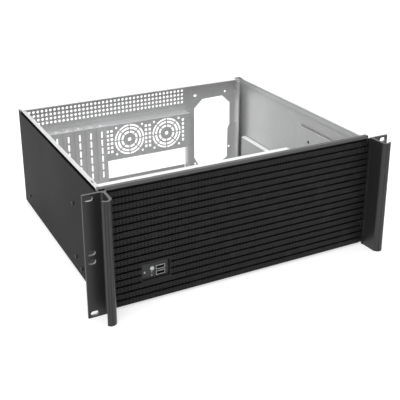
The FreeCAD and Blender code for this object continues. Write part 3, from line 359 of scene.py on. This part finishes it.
def painted_fold_shade_material():
    # Matt black with almost no reflection, for the painted shade along the fold.
    finish = Finish("fold_coat_black")
    base = finish.fade(finish.noise(scale=40.0), SOFT, grey(0.004), grey(0.008))
    return finish.shade(base, rough=0.9, IOR=1.02)


# ---------------------------------------------------------------- anodised aluminium

NICK_TONE = 0.16
CUT_METAL_TONE = 0.30

# Stretches that draw a noise out into lines along an axis
ALONG_X = (1.0, 16.0, 16.0)
ALONG_Z = (16.0, 16.0, 1.0)

# How far in from an ear's outer edge its rack holes begin and end, and how far in from its top and bottom
RACK_HOLES_IN = 15.0 * MM
RACK_RIM_IN = 1.0 * MM
RACK_END_IN = 1.5 * MM


def rack_hole_walls(finish, name):
    # Mask of the walls of an ear's rack holes, where the anodised skin is cut away.
    lo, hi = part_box(name)
    outer = max(abs(lo[0]), abs(hi[0]))
    place = finish.axes("Position")
    facing = finish.axes("True Normal")
    across = finish.calc("ABSOLUTE", place["X"])
    return finish.all_of(
        finish.under(finish.calc("ABSOLUTE", facing["Y"]), HOLE_WALL),
        finish.above(across, outer - RACK_HOLES_IN), finish.under(across, outer - RACK_RIM_IN),
        finish.above(place["Z"], lo[2] + RACK_END_IN), finish.under(place["Z"], hi[2] - RACK_END_IN))


def anodised_material(name, tone, stretch, rough_low, gloss, holed=None):
    # Satin black anodised aluminium: faint drawing lines along the extrusion, bright nicks on the edges.
    finish = Finish(name)
    lines = finish.noise(scale=180.0, stretch=stretch)
    soft = finish.noise(scale=11.0, detail=4.0)
    marks = finish.noise(scale=60.0, detail=5.0)
    base = finish.fade(soft, SOFT, grey(tone * 0.85), tinted(tone, 1.15, 1.15, 1.2))
    base = finish.mix(0.35, base, finish.fade(lines, (0.35, 0.7), grey(tone * 0.6), grey(tone * 1.8)))
    edges = finish.edge_mask(radius=0.8 * MM, gain=1.5)
    nicks = finish.fade(marks, (0.5, 0.66), grey(0.15), grey(1.0))
    wear = finish.mix(1.0, edges, nicks, "MULTIPLY")
    base = finish.mix(wear, base, grey(NICK_TONE))
    if holed:
        base = finish.mix(rack_hole_walls(finish, holed), base, grey(CUT_METAL_TONE))
    rough = finish.roughness(lines, gain=0.16, low=rough_low)
    normal = finish.bump(lines, strength=0.12, distance=0.04 * MM)
    return finish.shade(base, rough, normal, Specular_IOR_Level=gloss)


# ---------------------------------------------------------------- small parts

SMALL_EDGE_R = 0.3 * MM
SHELL_WORN_TONE = 0.85
TONGUE_TONE = 0.015

# How far in from a USB socket's box its black inside begins: at the sides, below and in front, and at the top
SHELL_T = 1.0 * MM
SHELL_TOP_T = 0.6 * MM


def steel_material(name, tone, rough_low=0.25, metallic=1.0):
    finish = Finish(name)
    turned = finish.noise(scale=700.0)
    soft = finish.noise(scale=90.0)
    base = finish.fade(soft, SOFT, grey(tone * 0.82), tinted(tone, 1.1, 1.1, 1.08))
    edges = finish.edge_mask(SMALL_EDGE_R, gain=1.2)
    base = finish.mix(edges, base, grey(min(1.0, tone * 1.5)))
    rough = finish.roughness(turned, gain=0.2, low=rough_low)
    return finish.shade(base, rough, finish.bump(turned), Metallic=metallic)


def plastic_material(name, colour, rough_low, coat=0.0):
    finish = Finish(name)
    grain = finish.noise(scale=1400.0, detail=2.0)
    soft = finish.noise(scale=60.0)
    low = tuple(part * 0.85 for part in colour)
    high = tuple(min(1.0, part * 1.12) for part in colour)
    rubbed = tuple(min(1.0, part * 1.4 + 0.03) for part in colour)
    edges = finish.edge_mask(SMALL_EDGE_R, gain=0.8)
    base = finish.mix(edges, finish.fade(soft, SOFT, low, high), rubbed)
    rough = finish.roughness(grain, gain=0.16, low=rough_low)
    return finish.shade(base, rough, finish.bump(grain), Coat_Weight=coat)


def socket_material(name):
    # A plated shell; the contact tongue inside it is black plastic.
    finish = Finish(name + "_shell")
    lo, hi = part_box(name)
    place = finish.axes("Position")
    inside = finish.all_of(
        finish.above(place["X"], lo[0] + SHELL_T), finish.under(place["X"], hi[0] - SHELL_T),
        finish.above(place["Y"], lo[1] + SHELL_T), finish.under(place["Y"], hi[1]),
        finish.above(place["Z"], lo[2] + SHELL_T), finish.under(place["Z"], hi[2] - SHELL_TOP_T))
    turned = finish.noise(scale=700.0)
    shell = finish.fade(turned, SOFT, grey(0.48), grey(0.66))
    edges = finish.edge_mask(SMALL_EDGE_R, gain=1.2)
    shell = finish.mix(edges, shell, grey(SHELL_WORN_TONE))
    base = finish.mix(inside, shell, grey(TONGUE_TONE))
    rough = finish.roughness(turned, gain=0.2, low=0.2)
    metallic = finish.calc("SUBTRACT", 1.0, inside)
    return finish.shade(base, rough, finish.bump(turned), Metallic=metallic)


def brass_material():
    finish = Finish("turned_brass")
    turned = finish.noise(scale=900.0, stretch=(1.0, 1.0, 6.0))
    base = finish.fade(turned, SOFT, (0.52, 0.36, 0.13), (0.78, 0.58, 0.27))
    return finish.shade(base, finish.roughness(turned, gain=0.2, low=0.2), Metallic=1.0)


# ---------------------------------------------------------------- finishes of the CAD's pieces

ZINC = zinc_material("zinc_plate")
COVER_ZINC = zinc_material("zinc_plate_covers", tone=0.71)
BEZEL_BLACK = anodised_material("bezel_black", tone=0.012, stretch=ALONG_X, rough_low=0.42, gloss=0.2)
SCREW = steel_material("screw_zinc", tone=0.55)
PALE_SCREW = steel_material("screw_zinc_pale", tone=0.8, rough_low=0.4, metallic=0.4)
BLACK_SCREW = steel_material("screw_black", tone=0.05, rough_low=0.35, metallic=0.6)

FINISHES = {
    "chassis_tray": tray_material(),
    "rear_panel": ZINC,
    "rear_insert": ZINC,
    "slot_cover_screws": PALE_SCREW,
    "front_bulkhead": powder_material("black_powder_coat", tone=0.03),
    "fan_wall": ZINC,
    "fan_wall_screws": BLACK_SCREW,
    "side_screws": BLACK_SCREW,
    "front_bezel": BEZEL_BLACK,
    "handle_screws": SCREW,
    "control_plate": plastic_material("control_black", (0.014, 0.014, 0.015), rough_low=0.38),
    "power_button": plastic_material("button_silver", (0.62, 0.63, 0.64), rough_low=0.22, coat=0.4),
    "reset_button": plastic_material("reset_silver", (0.55, 0.56, 0.57), rough_low=0.25, coat=0.4),
    "power_lamp": plastic_material("lamp_blue_lens", (0.30, 0.35, 0.44), rough_low=0.12, coat=0.8),
    "drive_lamp": plastic_material("lamp_amber_lens", (0.42, 0.36, 0.27), rough_low=0.12, coat=0.8),
    "control_board": plastic_material("board_green", (0.02, 0.11, 0.05), rough_low=0.3, coat=0.3),
    "control_screws": SCREW,
    "psu_bracket": lit_top_zinc_material("zinc_plate_bracket", side_tone=0.5, lit_top_tone=0.95),
    "psu_bracket_screws": SCREW,
    "wall_plate": ZINC,
    "board_standoffs": brass_material(),
    "rear_rivets": steel_material("rivet_steel", tone=0.5, rough_low=0.3),
}
for name in ("handle_left", "handle_right"):
    FINISHES[name] = anodised_material(
        name + "_black", tone=0.022, stretch=ALONG_Z, rough_low=0.3, gloss=0.5, holed=name)
for name in ("usb_socket_upper", "usb_socket_lower"):
    FINISHES[name] = socket_material(name)

# The nodes that aren't named above are the slot covers.
for name, item in NODES.items():
    finish = FINISHES.get(name, COVER_ZINC)
    if not item.material_slots:
        item.data.materials.append(finish)
    for slot in item.material_slots:
        slot.material = finish


# ---------------------------------------------------------------- meshes

def link_piece(name, data, material):
    piece = bpy.data.objects.new(name, data)
    bpy.context.collection.objects.link(piece)
    data.materials.append(material)
    return piece


def quad(mesh, *corners):
    mesh.faces.new([mesh.verts.new(corner) for corner in corners])


def front_quad(mesh, x0, x1, y, z0, z1):
    quad(mesh, (x0, y, z0), (x1, y, z0), (x1, y, z1), (x0, y, z1))


def block(mesh, x0, x1, y0, y1, z0, z1):
    front_quad(mesh, x0, x1, y0, z0, z1)
    quad(mesh, (x1, y1, z0), (x0, y1, z0), (x0, y1, z1), (x1, y1, z1))
    quad(mesh, (x0, y0, z1), (x1, y0, z1), (x1, y1, z1), (x0, y1, z1))
    quad(mesh, (x0, y1, z0), (x1, y1, z0), (x1, y0, z0), (x0, y0, z0))
    quad(mesh, (x0, y1, z0), (x0, y0, z0), (x0, y0, z1), (x0, y1, z1))
    quad(mesh, (x1, y0, z0), (x1, y1, z0), (x1, y1, z1), (x1, y0, z1))


# ---------------------------------------------------------------- perforated bezel

RIBS = 17
RIB_PITCH = 10.09 * MM
GROOVE_W = 3.2 * MM
LOW_RIM = 0.5 * MM
LAND_D = 4.0 * MM
LAND_T = 1.0 * MM
BACKING_T = 2.4 * MM
SIDE_T = 2.0 * MM
HOLE_R = 0.95 * MM
HOLE_STEP = 5.0 * MM
HOLE_ROW_H = 3.5 * MM
HOLE_SIDES = 10
PLAIN_ENDS = 2.0 * MM
RECESS_GAP = 0.3 * MM
RECESS_RIM = 1.6 * MM
STRIP_MIN = 2.0 * MM
HAIR = 1e-6
FULL_TURN = 2 * math.pi


def hole_outline(x0, x1, z0, z1):
    # The hole's corners and, straight out from each of them, a point on the cell's edge.
    mid_x, mid_z = (x0 + x1) / 2, (z0 + z1) / 2
    ring, edge_points = [], []
    for k in range(HOLE_SIDES):
        angle = FULL_TURN * (k + 0.5) / HOLE_SIDES
        dx, dz = math.cos(angle), math.sin(angle)
        reach = min((x1 - mid_x) / max(abs(dx), HAIR), (z1 - mid_z) / max(abs(dz), HAIR))
        ring.append((mid_x + HOLE_R * dx, mid_z + HOLE_R * dz))
        edge_points.append((mid_x + reach * dx, mid_z + reach * dz))
    return ring, edge_points


def corners_between(start, end, x0, x1, z0, z1):
    # The cell's corners that lie, seen from its middle, between two points on its edge.
    mid_x, mid_z = (x0 + x1) / 2, (z0 + z1) / 2
    low = math.atan2(start[1] - mid_z, start[0] - mid_x)
    high = math.atan2(end[1] - mid_z, end[0] - mid_x)
    if high < low:
        high += FULL_TURN
    found = []
    for x, z in ((x1, z1), (x0, z1), (x0, z0), (x1, z0)):
        turn = math.atan2(z - mid_z, x - mid_x)
        while turn < low:
            turn += FULL_TURN
        if low + HAIR < turn < high - HAIR:
            found.append((x, z))
    return found


def hole_cell(mesh, x0, x1, y, z0, z1):
    # One cell of a land's face with its hole, and the hole's wall through the sheet.
    ring, edge_points = hole_outline(x0, x1, z0, z1)
    front_ring = [mesh.verts.new((x, y, z)) for x, z in ring]
    back_ring = [mesh.verts.new((x, y + LAND_T, z)) for x, z in ring]
    for k in range(HOLE_SIDES):
        after = (k + 1) % HOLE_SIDES
        start, end = edge_points[k], edge_points[after]
        rim = [start] + corners_between(start, end, x0, x1, z0, z1) + [end]
        rim_verts = [mesh.verts.new((x, y, z)) for x, z in rim]
        mesh.faces.new([front_ring[k]] + rim_verts + [front_ring[after]])
        mesh.faces.new([front_ring[after], back_ring[after], back_ring[k], front_ring[k]])


def land(mesh, x0, x1, y, z0, z1):
    # One rib, open to the rear: four sides, and a face with two rows of holes between plain bands.
    deep = y + LAND_D
    quad(mesh, (x0, y, z1), (x1, y, z1), (x1, deep, z1), (x0, deep, z1))
    quad(mesh, (x0, deep, z0), (x1, deep, z0), (x1, y, z0), (x0, y, z0))
    quad(mesh, (x0, deep, z0), (x0, y, z0), (x0, y, z1), (x0, deep, z1))
    quad(mesh, (x1, y, z0), (x1, deep, z0), (x1, deep, z1), (x1, y, z1))
    count = int((x1 - x0 - PLAIN_ENDS) / HOLE_STEP)
    margin = (x1 - x0 - count * HOLE_STEP) / 2
    band = (z1 - z0 - 2 * HOLE_ROW_H) / 2
    middle = (z0 + z1) / 2
    front_quad(mesh, x0, x1, y, z0, z0 + band)
    front_quad(mesh, x0, x1, y, z1 - band, z1)
    for low, high in ((z0 + band, middle), (middle, z1 - band)):
        front_quad(mesh, x0, x0 + margin, y, low, high)
        front_quad(mesh, x1 - margin, x1, y, low, high)
        for k in range(count):
            left = x0 + margin + k * HOLE_STEP
            right = x0 + margin + (k + 1) * HOLE_STEP
            hole_cell(mesh, left, right, y, low, high)


def bezel_skin():
    # The ribbed front as sheet: a backing cut out for the control recess, the recess's frame, walls to the
    # rear, lands whose two rows of holes open on a hollow, and a plain strip along the top.
    x0, x1 = BEZEL_LO[0], BEZEL_HI[0]
    z0, z1 = BEZEL_LO[2], BEZEL_HI[2]
    front, back = BEZEL_LO[1], BEZEL_HI[1]
    skin_front = front + LAND_D
    skin_back = front + LAND_D + BACKING_T
    in_x0, in_x1 = x0 + SIDE_T, x1 - SIDE_T
    middle = (z0 + z1 - LOW_RIM) / 2
    plate_lo, plate_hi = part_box("control_plate")
    left, right = plate_lo[0] - RECESS_GAP, plate_hi[0] + RECESS_GAP
    low, high = plate_lo[2] - RECESS_GAP, plate_hi[2] + RECESS_GAP
    rim_x0, rim_x1 = left - RECESS_RIM, right + RECESS_RIM
    rim_z0, rim_z1 = low - RECESS_RIM, high + RECESS_RIM
    mesh = bmesh.new()

    for span in (
        (x0, rim_x0, skin_front, skin_back, z0, z1),
        (rim_x1, x1, skin_front, skin_back, z0, z1),
        (rim_x0, rim_x1, skin_front, skin_back, z0, rim_z0),
        (rim_x0, rim_x1, skin_front, skin_back, rim_z1, z1),
        (rim_x0, left, front, back, rim_z0, rim_z1),
        (right, rim_x1, front, back, rim_z0, rim_z1),
        (left, right, front, back, rim_z0, low),
        (left, right, front, back, high, rim_z1),
        (x0, in_x0, skin_back, back, z0, z1),
        (in_x1, x1, skin_back, back, z0, z1),
        (in_x0, in_x1, skin_back, back, z0, z0 + SIDE_T),
        (in_x0, in_x1, skin_back, back, z1 - SIDE_T, z1),
    ):
        block(mesh, *span)

    for rib in range(RIBS):
        rib_z0 = middle + (rib - RIBS / 2) * RIB_PITCH + GROOVE_W / 2
        rib_z1 = rib_z0 + RIB_PITCH - GROOVE_W
        lands = [(x0, x1)]
        if rib_z0 < rim_z1 and rib_z1 > rim_z0:
            lands = [(x0, rim_x0), (rim_x1, x1)]
            if rib_z0 < rim_z0 - STRIP_MIN:
                block(mesh, rim_x0, rim_x1, front, skin_front, rib_z0, rim_z0)
            elif rib_z1 > rim_z1 + STRIP_MIN:
                block(mesh, rim_x0, rim_x1, front, skin_front, rim_z1, rib_z1)
        for land_x0, land_x1 in lands:
            land(mesh, land_x0, land_x1, front, rib_z0, rib_z1)
    top_z0 = middle + RIBS / 2 * RIB_PITCH + GROOVE_W / 2
    block(mesh, x0, x1, front, skin_front, top_z0, z1)

    data = bpy.data.meshes.new("bezel_skin")
    mesh.to_mesh(data)
    mesh.free()
    return link_piece("bezel_skin", data, BEZEL_BLACK)


skin = bezel_skin()
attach(skin, CASE)
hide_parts("front_bezel")


# ---------------------------------------------------------------- painted shade: a dark sheet along the fold at the top of the left side

FOLD_SHADE_LIFT = 0.06 * MM
FOLD_SHADE_H = 4.4 * MM
FOLD_FRONT_GAP = 22.0 * MM
FOLD_REAR_GAP = 16.0 * MM
FOLD_R = 1.45 * MM
FOLD_POINTS = 5
FOLD_STEP_DEG = 12.0


def fold_line(offset):
    # Points up the tray's left side and about half of the way round its fold, moved outward by the offset.
    side_x, top_z = TRAY_LO[0], TRAY_HI[2]
    line = [(side_x - offset, top_z - FOLD_SHADE_H)]
    for step in range(FOLD_POINTS):
        turn = math.radians(FOLD_STEP_DEG * step)
        x = side_x + FOLD_R - (FOLD_R + offset) * math.cos(turn)
        z = top_z - FOLD_R + (FOLD_R + offset) * math.sin(turn)
        line.append((x, z))
    return line


def painted_fold_shade():
    # A matt black sheet over the fold between the side and its top strip: painted shade along the bend.
    ends = (TRAY_LO[1] + FOLD_FRONT_GAP, TRAY_HI[1] - FOLD_REAR_GAP)
    section = fold_line(FOLD_SHADE_LIFT) + fold_line(-FOLD_SHADE_LIFT)[::-1]
    verts = [(x, y, z) for y in ends for x, z in section]
    count = len(section)
    faces = [(k, (k + 1) % count, (k + 1) % count + count, k + count) for k in range(count)]
    faces += [tuple(reversed(range(count))), tuple(range(count, count * 2))]
    data = bpy.data.meshes.new("painted_fold_shade")
    data.from_pydata(verts, [], faces)
    return link_piece("painted_fold_shade", data, painted_fold_shade_material())


edge = painted_fold_shade()
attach(edge, CASE)


# ---------------------------------------------------------------- floor, light, camera

FLOOR_HALF = 6.0
FLOOR_DROP = 0.5 * MM
FLOOR_GLOW = 0.62
MID_GREY = (0.5, 0.5, 0.5, 1.0)
WHITE = (1.0, 1.0, 1.0, 1.0)

# The world's strength as a light, and where it is seen
WORLD_LIGHT = 0.55
WORLD_SEEN = 1.0

# Place, the point it is aimed at, size in metres and watts
LIGHTS = {
    "key": ((-1.2, -1.1, 2.4), (0, 0, 0.05), (1.6, 1.6), 30.0),
    "top": ((0.3, 0.3, 2.6), (0, 0, 0.05), (2.0, 2.0), 52.0),
    "back": ((0.9, 2.4, 1.5), (0, 0.1, 0.1), (2.4, 1.0), 8.0),
}

# The camera looks to the right and down. Its lens and sensor are in millimetres, as Blender has them.
CAMERA_PLACE = (-0.5079, EAR_FRONT_Y - 0.8384, 0.5720)
CAMERA_YAW = math.radians(27.23)
CAMERA_PITCH = math.radians(20.32)
CAMERA_ROLL = math.radians(-0.07)
CAMERA_LENS = 69.228
CAMERA_SENSOR_W = 36.0
CAMERA_SHIFT_Y = -0.15
CAMERA_FAR = 50.0


def floor_material():
    material = bpy.data.materials.new("floor_white")
    tree = Tree(material)
    diffuse = tree.add("ShaderNodeBsdfDiffuse", Color=MID_GREY)
    glow = tree.add("ShaderNodeEmission")
    tree.feed(glow.inputs["Strength"], tree.calc("MULTIPLY", tree.seen(), FLOOR_GLOW))
    both = tree.add("ShaderNodeAddShader")
    tree.links.new(diffuse.outputs[0], both.inputs[0])
    tree.links.new(glow.outputs[0], both.inputs[1])
    output = tree.add("ShaderNodeOutputMaterial")
    tree.links.new(both.outputs[0], output.inputs["Surface"])
    return material


def stage_floor():
    half = FLOOR_HALF
    corners = [(-half, -half, 0), (half, -half, 0), (half, half, 0), (-half, half, 0)]
    data = bpy.data.meshes.new("floor")
    data.from_pydata(corners, [], [(0, 1, 2, 3)])
    floor = link_piece("floor", data, floor_material())
    floor.location.z = -FLOOR_DROP


def world_light():
    world = bpy.data.worlds.new("studio")
    bpy.context.scene.world = world
    tree = Tree(world)
    background = tree.add("ShaderNodeBackground", Color=WHITE)
    tree.feed(background.inputs["Strength"], tree.mix_values(tree.seen(), WORLD_LIGHT, WORLD_SEEN))
    output = tree.add("ShaderNodeOutputWorld")
    tree.links.new(background.outputs[0], output.inputs["Surface"])


def soft_light(name, place, target, size, watts):
    data = bpy.data.lights.new(name, "AREA")
    data.shape = "RECTANGLE"
    data.size, data.size_y = size
    data.energy = watts
    light = bpy.data.objects.new(name, data)
    light.location = place
    light.rotation_euler = (Vector(target) - Vector(place)).to_track_quat("-Z", "Y").to_euler()
    bpy.context.collection.objects.link(light)


def add_camera():
    level = math.cos(CAMERA_PITCH)
    forward = Vector((math.sin(CAMERA_YAW) * level, math.cos(CAMERA_YAW) * level, -math.sin(CAMERA_PITCH)))
    right = Vector((math.cos(CAMERA_YAW), -math.sin(CAMERA_YAW), 0.0))
    up = right.cross(forward)
    rolled_right = right * math.cos(CAMERA_ROLL) + up * math.sin(CAMERA_ROLL)
    rolled_up = up * math.cos(CAMERA_ROLL) - right * math.sin(CAMERA_ROLL)
    data = bpy.data.cameras.new("camera")
    data.lens = CAMERA_LENS
    data.sensor_width = CAMERA_SENSOR_W
    data.shift_y = CAMERA_SHIFT_Y
    data.clip_end = CAMERA_FAR
    camera = bpy.data.objects.new("camera", data)
    rows = [(rolled_right[i], rolled_up[i], -forward[i], CAMERA_PLACE[i]) for i in range(3)]
    camera.matrix_world = Matrix(rows + [(0, 0, 0, 1)])
    bpy.context.collection.objects.link(camera)
    bpy.context.scene.camera = camera


stage_floor()
world_light()
for name, settings in LIGHTS.items():
    soft_light(name, *settings)
add_camera()
bpy.context.scene.view_settings.view_transform = "Standard"
